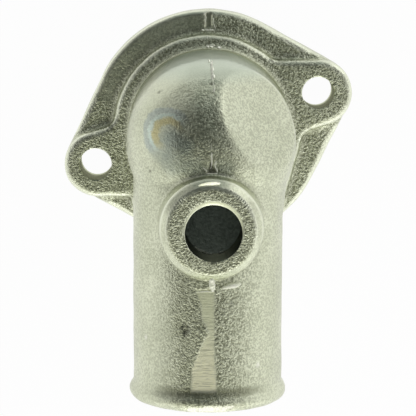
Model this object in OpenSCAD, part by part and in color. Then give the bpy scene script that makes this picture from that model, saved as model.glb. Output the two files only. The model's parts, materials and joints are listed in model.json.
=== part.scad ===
// Engine coolant outlet: a cast aluminium elbow that covers the engine's
// coolant valve. The flange bolts to the engine with its flat face down, a
// domed chamber turns the flow, and a beaded neck takes the radiator hose. A
// drilled boss on the crown of the neck takes a sensor or a pipe.
// Millimetres. The origin is the centre of the flange's flat face, +Z points
// out of the engine along the dome's axis and the neck leaves towards -Y.

/* [Flange] */
// Distance between the two bolt holes, centre to centre
bolt_spacing = 63.5; // [62:0.5:70]
// Turn of the bolt line from the X axis
bolt_turn = 18; // [10:1:25]
// Diameter of a bolt hole
bolt_hole_d = 8.7; // [6.6:0.1:9]
// Radius of the round middle of the flange
plate_radius = 32; // [31:0.1:34]
// Radius of the rounded lug around each bolt
lug_radius = 9; // [8.2:0.1:9.6]
// Thickness of the flange outside the raised pad
plate_thick = 6; // [4.5:0.1:8]
// Height of the raised pad above the plate
pad_height = 2.9; // [2.2:0.1:4]
// Radius of the raised ring around the dome
ring_radius = 25.6; // [25:0.1:27]
// Distance of the cast flange from the middle of the bolt holes, towards +X
flange_shift = 0.4; // [0:0.1:0.8]
// Distance of the cast flange from the middle of the bolt holes, towards -Y
flange_drop = 0.2; // [0:0.1:0.8]

/* [Valve seat] */
// Diameter of the shallow recess that locates the valve's rim
seat_d = 48.4; // [44:0.1:49]
// Depth of that recess
seat_depth = 2.4; // [1.5:0.1:3.5]
// Diameter of the flow opening in the flange
mouth_d = 36; // [33:0.5:37]

/* [Dome] */
// Outside radius of the domed chamber
dome_radius = 21.7; // [21.2:0.1:22.4]
// Height of the dome's centre above the flange's flat face
dome_z = 33; // [32:0.5:40]
// Distance from the dome's centre to the flat on its shoulder
flat_distance = 17.3; // [17:0.1:19]
// Lean of that flat's normal away from the dome's axis
flat_lean = 55; // [45:1:60]
// Heading of that flat's normal in plan, from the X axis
flat_heading = 33; // [20:1:45]
// Distance of the dome from the middle of the neck, towards +X
dome_shift = 0.8; // [0:0.1:1]

/* [Neck] */
// Outside diameter of the hose neck
neck_d = 38.4; // [37:0.1:39]
// Inside diameter of the hose neck
neck_bore = 29.4; // [27:0.1:30.4]
// Length of the neck from the dome's centre to its lip
neck_length = 66; // [56:0.5:90]
// Rise of the neck away from the flange's plane
neck_rise = 5; // [2:0.5:10]
// Height of the bead that holds the hose on
bead_height = 1.1; // [0.6:0.1:1.6]
// Radius of the bead's rounded section
bead_round = 2.4; // [2:0.1:3]

/* [Port] */
// Distance of the boss from the dome's axis, in plan
boss_reach = 17.5; // [16:0.5:24]
// Distance of the boss from the middle of the neck, towards +X
boss_shift = 0.5; // [0:0.1:0.8]
// Diameter of the boss just under its rounded rim
boss_d = 25.3; // [23:0.1:27]
// Height of the boss's face above the crown of the neck
boss_height = 5.2; // [4:0.1:9]
// Diameter of the drilled port
port_d = 14; // [10:0.1:16]
// Distance of the drilled port from the middle of the boss, towards +X
port_offset = 0.5; // [0:0.1:0.8]
// Distance of the drilled port from the middle of its countersink, towards -Y
port_drop = 0.6; // [0:0.1:1]
// Diameter of the countersink at the boss's face
countersink_d = 14.8; // [14:0.1:16]

/* [Hidden] */
$fn = 96;

// Cast edges, fillets and draft
plate_round = 1.2;
pad_round = 1.3;
step_fillet = 1.4;
dome_fillet = 2.2;
corner_round = 3.2;
neck_fillet = 4;
neck_runout = 16;
boss_round = 1.8;
boss_draft = 3;
saddle_angle = 15.5;

// Drilled and trimmed edges
countersink_depth = 1.6;
lip_chamfer = 0.8;

// How far a blend sinks into the surface that it meets, and how far a cutter
// or a buried end runs past one
sink = 0.02;
overrun = 1;

// Sizes worked out from the ones above
lug_x = bolt_spacing / 2;
pad_top = plate_thick + pad_height;
neck_radius = neck_d / 2;
bore_radius = neck_bore / 2;
turn_radius = bore_radius + 0.25;
boss_radius = boss_d / 2;
crown_z = dome_z + boss_reach * tan(neck_rise) + neck_radius / cos(neck_rise);
boss_face_z = crown_z + boss_height;
tangent_angle = acos((plate_radius - lug_radius) / lug_x);
bolt_line = [cos(bolt_turn), sin(bolt_turn)];
lug_centre = lug_x * bolt_line;

// Unit vector at an angle in plan
function heading(angle) = [cos(angle), sin(angle)];

// Top of a piece of the raised pad: each rank sits a hair under the one before,
// so that no two tops lie in one plane
function pad_level(rank) = pad_top - rank * sink;

// Section of a cast edge: its outer face stands at x = 0, its top outer corner
// is rounded and its inner end is buried
module edge_section(depth, height, radius) {
    translate([-depth, 0]) square([depth, height - radius]);
    translate([-depth, 0]) square([depth - radius, height]);
    translate([-radius, height - radius]) circle(radius);
}

// Section of a concave fillet between a wall at x = 0 and a floor at y = 0
module fillet_section(radius) {
    translate([-sink, -sink]) difference() {
        translate([-overrun, -overrun]) square(radius + overrun);
        translate([radius, radius]) circle(radius);
    }
}

// Disc with a rounded top edge
module cast_disc(radius, height, edge) {
    rotate_extrude() {
        square([radius, height - edge]);
        square([radius - edge, height]);
        translate([radius - edge, height - edge]) circle(edge);
    }
}

// Carries a section along a straight line in plan from point a to point b; the
// section's +X side looks to the left of that line
module along_line(a, b) {
    run = b - a;
    translate([a.x, a.y, 0])
        rotate([90, 0, atan2(run.y, run.x) + 90])
            linear_extrude(norm(run)) children();
}

// Straight side of the raised pad, with the fillet at the foot of its step
module pad_side(a, b, rank) {
    along_line(a, b) translate([0, overrun])
        edge_section(lug_radius - overrun, pad_level(rank) - overrun, pad_round);
    along_line(a, b) translate([0, plate_thick]) fillet_section(step_fillet);
}

// Rounded inside corner of the pad, between the ring and a straight side that
// passes the point on_side and heads along the angle way
module pad_corner(on_side, way, side, rank) {
    normal = side * heading(way + 90);
    offset = on_side * normal + corner_round;
    reach = sqrt(pow(ring_radius + corner_round, 2) - pow(offset, 2));
    centre = offset * normal + reach * heading(way);
    foot = centre - corner_round * normal;
    on_ring = centre * ring_radius / (ring_radius + corner_round);
    inner = foot - 4 * normal - 4 * heading(way);
    translate([0, 0, overrun]) linear_extrude(pad_level(rank) - overrun) difference() {
        polygon([foot, on_ring, on_ring * 0.85, inner]);
        translate(centre) circle(corner_round + sink);
    }
}

// Half of the flange: one lug, the two tangent sides that reach it from the
// round middle, and its part of the raised pad
module flange_half() {
    rotate(bolt_turn) for (side = [-1, 1]) {
        out = heading(side * tangent_angle);
        middle = (plate_radius - sink) * out;
        end = [lug_x, 0] + (lug_radius - sink) * out;
        a = side > 0 ? middle : end;
        b = side > 0 ? end : middle;
        along_line(a, b) edge_section(lug_radius, plate_thick - 2 * sink, plate_round);
    }
    translate(lug_centre) cast_disc(lug_radius, pad_level(1), pad_round);
    level = lug_centre + [0, lug_radius - sink];
    pad_side([ring_radius / 2, level.y], level, 2);
    pad_corner(level, 0, 1, 4);
    across = -(lug_radius - sink) * heading(bolt_turn + 90);
    pad_side(across + lug_centre, across + bolt_line * ring_radius / 2, 3);
    pad_corner(across, bolt_turn, -1, 4);
}

// Point on a side of the saddle, so far inside its edge and so far along it
function saddle_point(side, inset, run) =
    (ring_radius - inset) * [side * cos(saddle_angle), -sin(saddle_angle)]
    - run * [side * sin(saddle_angle), cos(saddle_angle)];

// Part of the raised pad that narrows from the ring to the width of the neck
module neck_saddle() {
    reach = sqrt(pow(plate_radius - plate_round, 2) - pow(ring_radius, 2)) - overrun;
    pad_side(saddle_point(1, sink, 0), saddle_point(1, sink, reach), 5);
    pad_side(saddle_point(-1, sink, reach), saddle_point(-1, sink, 0), 5);
    translate([0, 0, overrun]) linear_extrude(pad_level(6) - overrun) intersection() {
        circle(norm([ring_radius, reach]));
        polygon([
            [0, 0],
            saddle_point(1, 2 * overrun, 0),
            saddle_point(1, 2 * overrun, 2 * reach),
            saddle_point(-1, 2 * overrun, 2 * reach),
            saddle_point(-1, 2 * overrun, 0)
        ]);
    }
}

// Flange with its raised ring, lug pads and saddle
module flange() {
    cast_disc(plate_radius, plate_thick, plate_round);
    cast_disc(ring_radius, pad_level(0), pad_round);
    rotate_extrude() translate([ring_radius, plate_thick]) fillet_section(step_fillet);
    for (half = [0, 180]) rotate(half) flange_half();
    neck_saddle();
}

// Domed chamber with the fillet at its foot and the flat on its shoulder
module dome() {
    rotate_extrude() translate([dome_radius, pad_top]) fillet_section(dome_fillet);
    difference() {
        rotate_extrude() {
            square([dome_radius, dome_z]);
            translate([0, dome_z]) intersection() {
                circle(dome_radius);
                square(dome_radius);
            }
        }
        translate([0, 0, dome_z])
            rotate([0, flat_lean, flat_heading])
                translate([-2 * dome_radius, -2 * dome_radius, flat_distance])
                    cube(4 * dome_radius);
    }
}

// Turns what it holds into the neck's own frame: +Z along the neck to its lip
module along_neck() {
    translate([0, 0, dome_z]) rotate([90 - neck_rise, 0, 0]) children();
}

// Hose neck with the bead at its lip
module neck() {
    lip_r = neck_radius + bead_height - bead_round;
    along_neck() rotate_extrude() {
        square([neck_radius, neck_length - bead_round]);
        square([lip_r, neck_length]);
        translate([lip_r, neck_length - bead_round]) circle(bead_round);
    }
}

// Blend where the neck leaves the dome: it is centred on the dome and its far
// end runs out under the neck's skin
module neck_blend() {
    blend_r = neck_radius + neck_fillet;
    blend_z = sqrt(pow(dome_radius + neck_fillet, 2) - pow(blend_r, 2));
    inside = dome_radius / (dome_radius + neck_fillet) * [blend_r, blend_z];
    along_neck() rotate_extrude() difference() {
        polygon([
            inside * 0.9,
            inside,
            [neck_radius, blend_z],
            [neck_radius - 2 * dome_shift - sink, blend_z + neck_runout],
            [neck_radius * 0.85, blend_z]
        ]);
        translate([blend_r, blend_z]) circle(neck_fillet + sink);
    }
}

// Drafted boss on the crown of the neck, with a rounded rim
module boss() {
    foot_z = dome_z;
    foot_r = boss_radius + (boss_face_z - boss_round - foot_z) * tan(boss_draft);
    translate([boss_shift, -boss_reach, 0]) rotate_extrude() {
        polygon([
            [0, foot_z],
            [foot_r, foot_z],
            [boss_radius, boss_face_z - boss_round],
            [boss_radius - boss_round, boss_face_z],
            [0, boss_face_z]
        ]);
        translate([boss_radius - boss_round, boss_face_z - boss_round]) circle(boss_round);
    }
}

// Coolant passage: valve seat, flow opening, turn and neck bore
module passage() {
    translate([0, 0, -overrun]) cylinder(h = seat_depth + overrun, d = seat_d);
    translate([0, 0, seat_depth / 2])
        cylinder(h = dome_z - seat_depth / 2, r1 = mouth_d / 2, r2 = bore_radius);
    translate([0, 0, dome_z]) sphere(turn_radius);
    along_neck() cylinder(h = neck_length + overrun, r = bore_radius);
    along_neck() translate([0, 0, neck_length - lip_chamfer])
        cylinder(h = 2 * lip_chamfer, r1 = bore_radius, r2 = bore_radius + 2 * lip_chamfer);
}

// Drilled port through the boss into the neck, with the countersink beside it
module port() {
    sink_radius = countersink_d / 2;
    translate([boss_shift + port_offset, -boss_reach, 0]) {
        translate([0, -port_drop, dome_z]) cylinder(h = boss_face_z - dome_z + overrun, d = port_d);
        translate([0, 0, boss_face_z - countersink_depth])
            cylinder(
                h = countersink_depth + overrun,
                r1 = sink_radius - countersink_depth,
                r2 = sink_radius + overrun
            );
    }
}

// Bolt holes through both lugs
module bolt_holes() {
    for (side = [-1, 1])
        translate([side * lug_centre.x, side * lug_centre.y, -overrun])
            cylinder(h = pad_top + 2 * overrun, d = bolt_hole_d);
}

module housing() {
    color([0.62, 0.62, 0.56]) difference() {
        union() {
            translate([flange_shift, -flange_drop, 0]) flange();
            translate([dome_shift, 0, 0]) {
                dome();
                neck_blend();
            }
            neck();
            boss();
        }
        passage();
        port();
        bolt_holes();
    }
}

housing();
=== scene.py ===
import json
import math

import bmesh
import bpy
import numpy as np
from mathutils import Matrix, Vector


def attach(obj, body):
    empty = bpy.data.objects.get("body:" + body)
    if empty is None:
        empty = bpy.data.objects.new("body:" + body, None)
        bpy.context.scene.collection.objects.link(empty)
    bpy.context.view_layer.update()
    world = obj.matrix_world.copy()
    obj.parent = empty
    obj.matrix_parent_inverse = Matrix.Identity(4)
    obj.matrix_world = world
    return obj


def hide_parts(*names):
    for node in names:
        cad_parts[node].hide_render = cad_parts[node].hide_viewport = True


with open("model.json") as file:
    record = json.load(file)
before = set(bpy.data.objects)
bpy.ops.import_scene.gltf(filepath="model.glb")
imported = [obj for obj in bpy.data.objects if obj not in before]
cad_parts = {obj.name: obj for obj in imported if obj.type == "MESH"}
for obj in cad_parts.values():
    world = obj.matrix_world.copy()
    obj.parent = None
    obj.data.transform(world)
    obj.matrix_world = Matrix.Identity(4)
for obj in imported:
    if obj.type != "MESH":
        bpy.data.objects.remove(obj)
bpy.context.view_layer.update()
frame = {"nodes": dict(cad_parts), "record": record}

# Sizes that the record's mounts state, in millimetres
MM = 0.001
MOUNTS = {mount["name"]: mount for mount in frame["record"]["mounts"]}
BOLT_CIRCLE_R = MOUNTS["flange_bolts"]["dims"]["pcd_mm"] / 2
BOLT_HOLE_R = MOUNTS["flange_bolts"]["dims"]["hole_r_mm"]
SEAT_R = MOUNTS["thermostat_seat"]["dims"]["r_mm"]
SEAT_DEPTH = MOUNTS["thermostat_seat"]["dims"]["length_mm"]
NECK_R = MOUNTS["hose_neck"]["dims"]["r_mm"]
PORT_R = MOUNTS["sensor_port"]["dims"]["r_mm"]
PORT_AT = tuple(place / MM for place in MOUNTS["sensor_port"]["pos_m"][:2])

# Other sizes of the part's solids, in millimetres
BOLT_TURN = math.radians(18)
PLATE_TOP = 6.0
PAD_TOP = 8.88
MOUTH_R = 18.0
DOME_Z = 33.0
DOME_SHIFT = 0.8
FLAT_DISTANCE = 17.3
FLAT_LEAN = math.radians(55)
FLAT_HEADING = math.radians(33)
NECK_RISE = math.radians(5)
NECK_LENGTH = 66.0
NECK_BORE_R = 14.7
BEAD_FROM = 60.5
BOSS_AT = (0.5, -17.5)
BOSS_R = 12.65
BOSS_FACE_Z = 59.0
BOSS_BEVEL = 1.8

# Countersink of the port, a flatter cone than the solid's
COUNTERSINK_AT = (1.0, -17.35)
COUNTERSINK_R = 7.25
COUNTERSINK_DEPTH = 1.0
COUNTERSINK_SLOPE = math.radians(30)

# The neck's axis starts on the seat's axis, and the dome was cast a little to its side
NECK_ROOT = np.array([0, 0, DOME_Z])
NECK_AXIS = np.array([0, -math.cos(NECK_RISE), math.sin(NECK_RISE)])
NECK_UP = np.array([0, math.sin(NECK_RISE), math.cos(NECK_RISE)])
DOME_AT = np.array([DOME_SHIFT, 0, DOME_Z])
FLAT_WAY = np.array(
    [
        math.sin(FLAT_LEAN) * math.cos(FLAT_HEADING),
        math.sin(FLAT_LEAN) * math.sin(FLAT_HEADING),
        math.cos(FLAT_LEAN),
    ]
)
BOLTS = [
    (side * BOLT_CIRCLE_R * math.cos(BOLT_TURN), side * BOLT_CIRCLE_R * math.sin(BOLT_TURN))
    for side in (-1, 1)
]

# The blank before machining: how near two of the CAD's points are when they are merged, the
# spare metal below the gasket face, and the plugs that fill the drilled holes, with the sides
# of a plug or drill, how much wider than its hole a plug is, and where the port's begins
CAD_WELD = 0.001
FACING_DEPTH = 1.5
ROD_SIDES = 128
BOLT_PLUG_SPARE = 0.4
PORT_PLUG_SPARE = 0.8
PORT_PLUG_FROM = 50.6

# Fineness of the skin's mesh, how near two of its points are when they are merged, and the
# least angle of an edge that stays sharp
SKIN_STEP = 0.46
SKIN_FACES = 186000
SAME_POINT = 0.0002
SHARP_EDGE = math.radians(38)


def link(name, mesh):
    """A new object for a mesh, in the scene."""
    piece = bpy.data.objects.new(name, mesh)
    bpy.context.scene.collection.objects.link(piece)
    return piece


def piece_of(bm, name):
    """A new object for a bmesh, which is freed."""
    mesh = bpy.data.meshes.new(name)
    bm.to_mesh(mesh)
    bm.free()
    return link(name, mesh)


def settled(piece):
    """A plain mesh of the piece with its modifiers worked in."""
    depsgraph = bpy.context.evaluated_depsgraph_get()
    return bpy.data.meshes.new_from_object(piece.evaluated_get(depsgraph))


def work_in(piece):
    """Gives the piece the plain mesh that its modifiers make."""
    mesh = settled(piece)
    piece.modifiers.clear()
    piece.data = mesh


def shade_smooth(mesh):
    mesh.polygons.foreach_set("use_smooth", np.ones(len(mesh.polygons), bool))


def add_rod(bm, at, radius, low, high, top_radius=None):
    """Adds a closed upright rod or cone to a bmesh, sizes in millimetres."""
    bmesh.ops.create_cone(
        bm,
        cap_ends=True,
        segments=ROD_SIDES,
        radius1=radius * MM,
        radius2=(radius if top_radius is None else top_radius) * MM,
        depth=(high - low) * MM,
        matrix=Matrix.Translation(Vector((at[0], at[1], (low + high) / 2)) * MM),
    )


def plugged_blank():
    """The casting before it was machined: the CAD solid with its drilled holes filled."""
    bm = bmesh.new()
    bm.from_mesh(frame["nodes"]["housing"].data)
    bmesh.ops.remove_doubles(bm, verts=bm.verts, dist=CAD_WELD * MM)
    for vert in bm.verts:
        if vert.co.z < CAD_WELD * MM:
            vert.co.z = -FACING_DEPTH * MM
    for at in BOLTS:
        add_rod(bm, at, BOLT_HOLE_R + BOLT_PLUG_SPARE, -FACING_DEPTH, PAD_TOP)
    for at, radius in ((PORT_AT, PORT_R), (COUNTERSINK_AT, COUNTERSINK_R)):
        add_rod(bm, at, radius + PORT_PLUG_SPARE, PORT_PLUG_FROM, BOSS_FACE_Z)
    return piece_of(bm, "blank")


def even_skin(blank):
    """Turns the blank into an even mesh, fine enough to carry casting marks."""
    remesh = blank.modifiers.new("skin", "REMESH")
    remesh.mode = "VOXEL"
    remesh.voxel_size = SKIN_STEP * MM
    mesh = settled(blank)
    bpy.data.objects.remove(blank)
    return mesh


def rows_of(items, name, width, kind=np.float32):
    """One property of a mesh's vertices, edges or faces, as the rows of an array."""
    flat = np.zeros(len(items) * width, kind)
    items.foreach_get(name, flat)
    return flat.reshape(-1, width)


def points_of(mesh):
    return rows_of(mesh.vertices, "co", 3).astype(float) / MM


def normals_of(mesh):
    return rows_of(mesh.vertex_normals, "vector", 3).astype(float)


def edges_of(mesh):
    return rows_of(mesh.edges, "vertices", 2, np.int32)


def put_points(mesh, points):
    mesh.vertices.foreach_set("co", (points * MM).astype(np.float32).ravel())
    mesh.update()


def put_mask(mesh, name, values):
    layer = mesh.attributes.new(name, "FLOAT", "POINT")
    layer.data.foreach_set("value", np.asarray(values, np.float32))


def neighbour_mean(values, edges):
    """Mean over each vertex's neighbours, for numbers or for points."""
    table = values.reshape(len(values), -1)
    a, b = edges[:, 0], edges[:, 1]
    count = np.bincount(a, minlength=len(table)) + np.bincount(b, minlength=len(table))
    total = np.stack(
        [
            np.bincount(a, column[b], len(table)) + np.bincount(b, column[a], len(table))
            for column in table.T
        ],
        1,
    )
    return (total / np.maximum(count, 1)[:, None]).reshape(values.shape)


def spread(values, edges, rounds):
    """Evens values out over the mesh by taking the neighbours' mean again and again."""
    for _ in range(rounds):
        values = neighbour_mean(values, edges)
    return values


def smooth_step(values, low, high):
    """Rises from 0 at low to 1 at high, or falls where low is the greater."""
    t = np.clip((values - low) / (high - low), 0, 1)
    return t * t * (3 - 2 * t)


def reach_from(points, at):
    """Each point's distance from an upright axis."""
    return np.hypot(points[:, 0] - at[0], points[:, 1] - at[1])


def along_neck(points):
    """Each point's distance along the neck from the seat's axis."""
    return (points - NECK_ROOT) @ NECK_AXIS


# Softening that a sand mould gives: rounds on every edge, more rounds on the dome's
# crown, and how far a point moves to its neighbours in a round
EDGE_SOFTENING = 3
DOME_SOFTENING = 16
SOFTENING_STEP = 0.5

# Where the dome's crown begins: from and to z, from and to y
CROWN_Z = (DOME_Z + 2, DOME_Z + 4)
CROWN_Y = (-3.5, -1.5)

# Slow waves in the skin: height, count, range of lengths and the seed of their draw
WAVE_HEIGHT = 0.05
WAVE_COUNT = 14
WAVE_LENGTH = (4, 13)
SEED = 7

# Bevel of the boss's rim: how far past the round it takes points, what share of the way
# it moves them, and the deepest that it cuts
BEVEL_MARGIN = 0.3
BEVEL_SHARE = 0.9
BEVEL_DEEPEST = 1.0


def soften(points, edges, rounds, share=1.0):
    """Draws each point towards its neighbours."""
    for _ in range(rounds):
        points += SOFTENING_STEP * share * (neighbour_mean(points, edges) - points)


def crown_of_dome(points):
    """Soft mask of the dome's crown."""
    return smooth_step(points[:, 2], *CROWN_Z) * smooth_step(points[:, 1], *CROWN_Y)


def bevel_boss(points):
    """Flattens the round of the boss's rim to a soft bevel."""
    z = points[:, 2]
    out = points[:, :2] - np.array(BOSS_AT)
    reach = reach_from(points, BOSS_AT)
    rise = (reach - BOSS_R + z - BOSS_FACE_Z + BOSS_BEVEL) / math.sqrt(2)
    here = abs(reach - BOSS_R + BOSS_BEVEL / 2) < BOSS_BEVEL / 2 + BEVEL_MARGIN
    here &= z > BOSS_FACE_Z - BOSS_BEVEL - BEVEL_MARGIN
    step = np.clip(rise, 0, BEVEL_DEEPEST) * here * BEVEL_SHARE / math.sqrt(2)
    points[:, :2] -= step[:, None] * out / np.maximum(reach, 1)[:, None]
    points[:, 2] -= step


def mould_waves(points):
    """Slow unevenness of a cast face, as a height for each point."""
    rng = np.random.RandomState(SEED)
    height = np.zeros(len(points))
    for _ in range(WAVE_COUNT):
        way = rng.normal(size=3)
        way /= np.linalg.norm(way)
        length = rng.uniform(*WAVE_LENGTH)
        height += np.sin(2 * math.pi * (points @ way) / length + rng.uniform(0, 2 * math.pi))
    return WAVE_HEIGHT * height / math.sqrt(WAVE_COUNT)


# Rounds that even out the crests and, further, the hollows, which get dirt and painted shade
CREST_SPREAD = 2
HOLLOW_SPREAD = 14

# Crests that stay dull, with less wear and less painted highlight: on the dome's crown and the
# neck's shoulders (along the neck, and off the boss), on the bead (along the neck) and on the
# boss's rim towards the lip (z and y)
SHOULDER_ALONG = (20, 16)
SHOULDER_OFF_BOSS = (BOSS_R + 1, BOSS_R + 2)
SHOULDER_DULL = 0.85
BEAD_ALONG = (BEAD_FROM - 1, BEAD_FROM)
BEAD_DULL = 0.7
RIM_Z = (BOSS_FACE_Z - 4, BOSS_FACE_Z - 3)
RIM_Y = (-17, -24)
RIM_DULL = 0.7

# Band of dirt and painted shade at the foot of the bead: its start and end along the neck, its
# reach to the sides, the least rise of the faces that hold it, and how deep a hollow it counts as
BAND_START = (BEAD_FROM - 1.5, BEAD_FROM)
BAND_END = (BEAD_FROM + 3, BEAD_FROM + 1)
BAND_X = (17, 8)
BAND_RISE = 0.3
BAND_DIRT_AND_SHADE = 0.06


def crests_and_hollows(points, normals, edges, on_crown):
    """How far each point stands out of its surroundings, and how far it lies in a hollow."""
    rise = -np.sum((neighbour_mean(points, edges) - points) * normals, 1) / SKIN_STEP
    crest = spread(rise, edges, CREST_SPREAD)
    hollow = -spread(crest, edges, HOLLOW_SPREAD)
    x, y, z = points.T
    along = along_neck(points)
    shoulder = smooth_step(z, *CROWN_Z) * smooth_step(along, *SHOULDER_ALONG)
    shoulder *= smooth_step(reach_from(points, BOSS_AT), *SHOULDER_OFF_BOSS)
    crest *= 1 - SHOULDER_DULL * np.maximum(on_crown, shoulder)
    crest *= 1 - BEAD_DULL * smooth_step(along, *BEAD_ALONG)
    crest *= 1 - RIM_DULL * smooth_step(z, *RIM_Z) * smooth_step(y, *RIM_Y)
    band = smooth_step(along, *BAND_START) * smooth_step(along, *BAND_END)
    hollow += BAND_DIRT_AND_SHADE * band * smooth_step(abs(x), *BAND_X) * (normals[:, 2] > BAND_RISE)
    return crest, hollow


# Strip on the neck where the parting flash was filed off: its left edge and its right
# edge as (distance along the neck, x), and its two ends
FILED_LEFT = (
    (35.4, -3.4),
    (38.7, -2.0),
    (42.2, -1.75),
    (44.8, -0.35),
    (46.0, -0.15),
    (48.0, -1.55),
    (51.2, -2.8),
    (55.1, -4.25),
    (60.5, -4.5),
)
FILED_RIGHT = ((34.6, 1.3), (52, 1.4), (57, 1.9), (61, 2.1))
FILED_ENDS = (34.8, 60.6)

# How soft its sides and ends are, how thick the skin is that the file reaches, how much
# deeper than the chord it cuts, and its deepest cut
FILED_SIDE_EDGE = (-0.15, 0.3)
FILED_END_EDGE = (-0.2, 0.3)
FILED_SKIN = 0.6
FILED_SPARE = 0.04
FILED_DEEPEST = 0.4


def file_neck(points):
    """Cuts the filed strip as a row of flat chords and returns its mask."""
    x = points[:, 0]
    along = along_neck(points)
    up = (points - NECK_ROOT) @ NECK_UP
    radius = np.hypot(x, up)
    angle = np.arctan2(x, up)
    left = np.interp(along, *zip(*FILED_LEFT))
    right = np.interp(along, *zip(*FILED_RIGHT))
    inside = np.minimum(x - left, right - x)
    ends = np.minimum(along - FILED_ENDS[0], FILED_ENDS[1] - along)
    mask = smooth_step(inside, *FILED_SIDE_EDGE) * smooth_step(ends, *FILED_END_EDGE)
    mask *= (radius > NECK_R - FILED_SKIN) * (up > 0)
    left_angle, right_angle = np.arcsin(left / NECK_R), np.arcsin(right / NECK_R)
    middle, half = (left_angle + right_angle) / 2, (right_angle - left_angle) / 2
    chord = NECK_R * np.cos(half) / np.cos(angle - middle)
    drop = np.clip(radius - chord + FILED_SPARE, 0, FILED_DEEPEST) * mask
    outward = np.outer(np.sin(angle), [1, 0, 0]) + np.outer(np.cos(angle), NECK_UP)
    points -= drop[:, None] * outward
    return mask


# Soft width of the edge of a sheared place or a blow hole
MARK_EDGE = 0.35

# Places where a tool sheared the metal: a point on the flat, the way it faces and how far
# the flat reaches from that point
SHEARED = (
    ((-0.4, -62.4, 58.55), (0.0, -0.62, 0.78), 3.4),
    ((2.6, -62.4, 58.45), (0.1, -0.60, 0.79), 2.2),
    ((-3.4, -62.7, 58.2), (-0.1, -0.62, 0.78), 1.9),
    ((5.2, -62.2, 58.05), (0.2, -0.58, 0.79), 1.2),
    ((12.41, -53.26, 52.3), (0.62, 0.07, 0.78), 0.6),
    ((-15.73, -47.17, 48.1), (-0.8, 0.05, 0.6), 0.55),
)

# Least agreement of a sheared face with its flat, how far below the flat its bright metal
# reaches, and the deepest cut
SHEARED_FACING = 0.3
SHEARED_BELOW = 0.03
SHEARED_DEEPEST = 1.2

# Blow holes: place, radius and depth
PITS = (
    ((-6.28, -41.72, 54.9), 0.42, 0.25),
    ((-5.27, -42.51, 55.2), 0.45, 0.25),
    ((-6.50, -42.60, 54.9), 0.42, 0.25),
    ((-5.91, -43.57, 55.1), 0.52, 0.30),
    ((-5.15, -43.57, 55.4), 0.42, 0.25),
    ((-6.06, -44.46, 55.2), 0.38, 0.20),
    ((-12.61, 14.56, 42.9), 0.55, 0.35),
    ((-11.9, 14.9, 43.3), 0.40, 0.25),
    ((5.33, 11.51, 47.8), 0.40, 0.30),
    ((0.6, 17.0, 46.6), 0.45, 0.30),
    ((-14.4, -4.7, 47.3), 0.40, 0.25),
    ((-11.6, -7.2, 50.3), 0.40, 0.25),
    ((9.2, -13.6, 52.3), 0.40, 0.20),
    ((-17.3, -24.2, 45.0), 0.45, 0.25),
    ((5.6, -36.5, 54.9), 0.45, 0.25),
)

# Strip on the flange where the two mould halves met: its sides, its ends, how soft they
# are, its depth, the heights that it lies between and the least rise of its faces
STRIP_X = (-0.45, 1.55)
STRIP_Y = (26.9, 31.2)
STRIP_SIDE_EDGE = (-0.1, 0.3)
STRIP_END_EDGE = (-0.1, 0.4)
STRIP_DEPTH = 0.3
STRIP_Z = (PLATE_TOP - 1.5, PLATE_TOP + 1)
STRIP_RISE = 0.5

# Wedge that the mould left between the dome and the boss: y of its tip and of its foot,
# x of its tip, how fast its two sides spread, how soft its sides and foot are, its depth,
# the height that it lies above, and its darkness as a share of a blow hole's
NOTCH_Y = (-0.9, -4.0)
NOTCH_X = 0.1
NOTCH_SPREAD = (0.30, 0.55)
NOTCH_SIDE_EDGE = (-0.1, 0.35)
NOTCH_FOOT_EDGE = (-0.2, 0.2)
NOTCH_DEPTH = 0.45
NOTCH_ABOVE = DOME_Z + 15
NOTCH_DARK = 0.8


def near(points, at, radius):
    """Soft mask of the points within a radius of a place."""
    distance = np.linalg.norm(points - np.array(at), axis=1)
    return 1 - smooth_step(distance, radius - MARK_EDGE, radius + MARK_EDGE)


def shear(points, normals):
    """Trims the sheared places flat and returns their mask."""
    mask = np.zeros(len(points))
    for at, way, reach in SHEARED:
        way = np.array(way) / np.linalg.norm(way)
        rise = (points - np.array(at)) @ way
        cut = (rise > -SHEARED_BELOW) * near(points, at, reach) * (normals @ way > SHEARED_FACING)
        points -= (np.clip(rise, 0, SHEARED_DEEPEST) * cut)[:, None] * way
        mask = np.maximum(mask, cut)
    return mask


def sink_pits(points, normals):
    """Presses the blow holes in and returns their mask."""
    mask = np.zeros(len(points))
    for at, radius, depth in PITS:
        here = near(points, at, radius)
        points -= (here * depth)[:, None] * normals
        mask = np.maximum(mask, here)
    return mask


def sink_strip(points, normals):
    """Lowers the strip at the parting line of the flange and returns its mask."""
    x, y, z = points.T
    across = np.minimum(x - STRIP_X[0], STRIP_X[1] - x)
    along = np.minimum(y - STRIP_Y[0], STRIP_Y[1] - y)
    mask = smooth_step(across, *STRIP_SIDE_EDGE) * smooth_step(along, *STRIP_END_EDGE)
    mask *= (z > STRIP_Z[0]) * (z < STRIP_Z[1]) * (normals[:, 2] > STRIP_RISE)
    points -= (mask * STRIP_DEPTH)[:, None] * normals
    return mask


def sink_notch(points):
    """Presses in the wedge above the boss and returns its mask."""
    x, y, z = points.T
    run = NOTCH_Y[0] - y
    from_left = x - NOTCH_X + NOTCH_SPREAD[0] * run
    from_right = NOTCH_X + NOTCH_SPREAD[1] * run - x
    mask = smooth_step(np.minimum(from_left, from_right), *NOTCH_SIDE_EDGE)
    mask *= smooth_step(y - NOTCH_Y[1], *NOTCH_FOOT_EDGE) * (z > NOTCH_ABOVE)
    points[:, 2] -= mask * NOTCH_DEPTH
    return mask


def mark_skin(points, normals):
    """Puts the marks of the file, the shear and the mould in the skin and returns their masks."""
    masks = {
        "filed": file_neck(points),
        "sheared": shear(points, normals),
        "strip": sink_strip(points, normals),
        "pit": sink_pits(points, normals),
    }
    masks["pit"] = np.maximum(masks["pit"], NOTCH_DARK * sink_notch(points))
    return masks


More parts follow.
